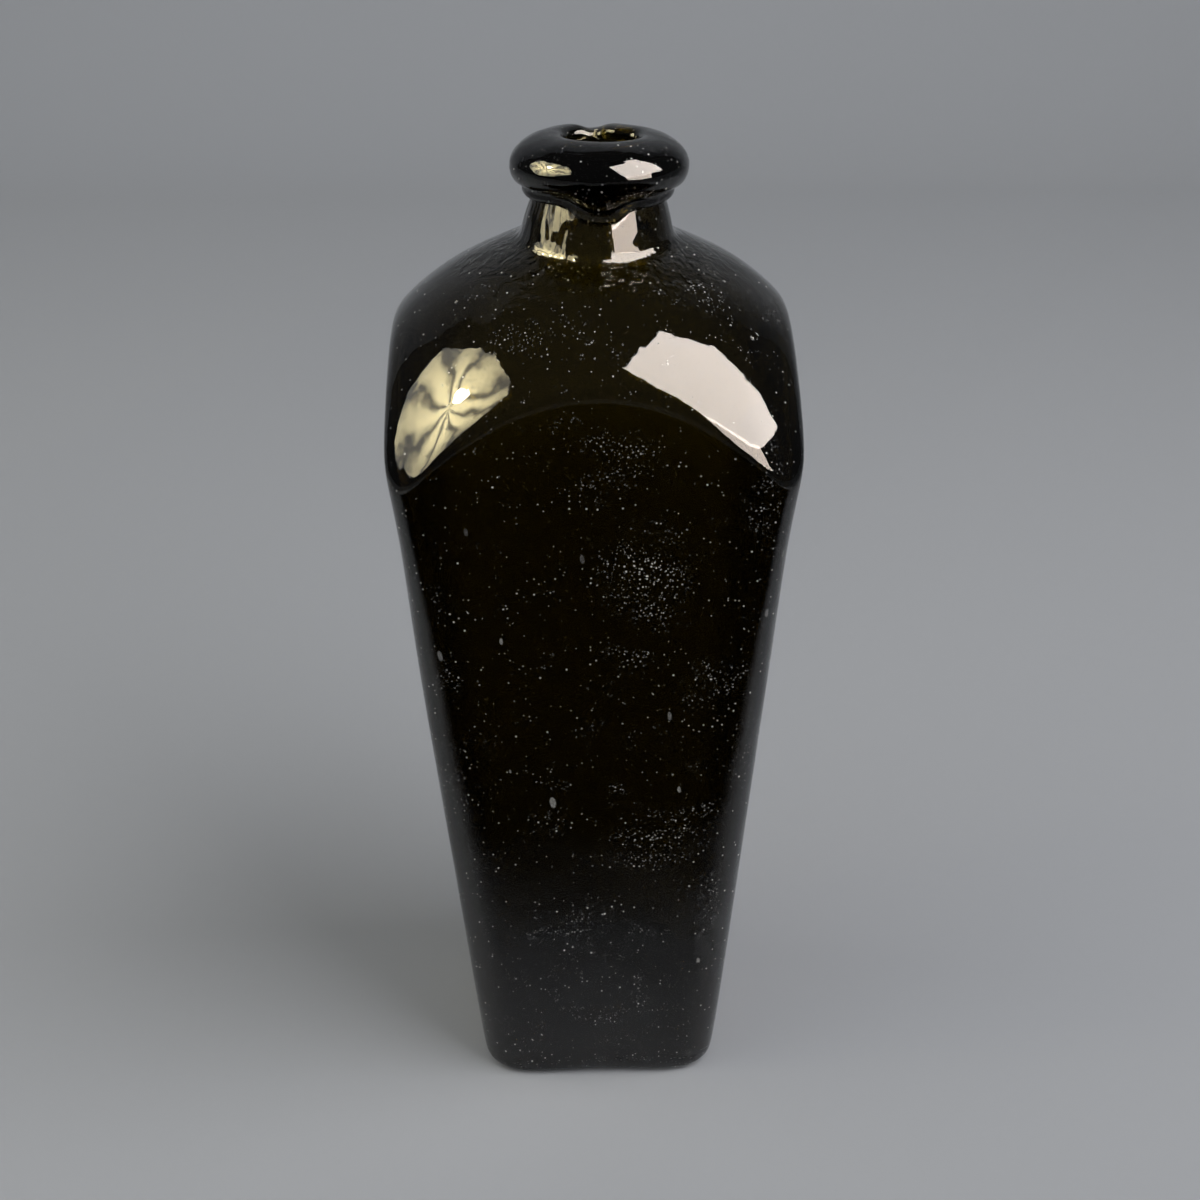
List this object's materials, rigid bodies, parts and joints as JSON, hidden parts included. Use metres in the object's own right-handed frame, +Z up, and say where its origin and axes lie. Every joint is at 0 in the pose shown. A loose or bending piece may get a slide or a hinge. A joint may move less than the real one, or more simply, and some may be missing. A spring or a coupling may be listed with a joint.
{
  "type": "case gin bottle",
  "caption": "Hand-blown dark glass bottle with a tapered square body, domed shoulder, short neck and thick laid-on lip.",
  "frame": {"origin": "on the ground, under the middle of the shoulder, which is the widest part", "axes": "+Z up along the bottle towards its mouth, front panel towards -Y, +X to the right of the front panel"},
  "size_m": [0.1004, 0.1004, 0.2581],
  "materials": {
    "dark_olive_glass": "fire-polished, seedy, very dark olive amber",
    "lip_glass": "fire-polished, tooled, very dark olive",
    "scar_glass": "broken and partly fire-polished, very dark olive"
  },
  "bodies": {
    "root": {"blown_body": "dark_olive_glass", "laid_on_lip": "lip_glass", "iron_scar_ring": "scar_glass"}
  },
  "joints": []
}
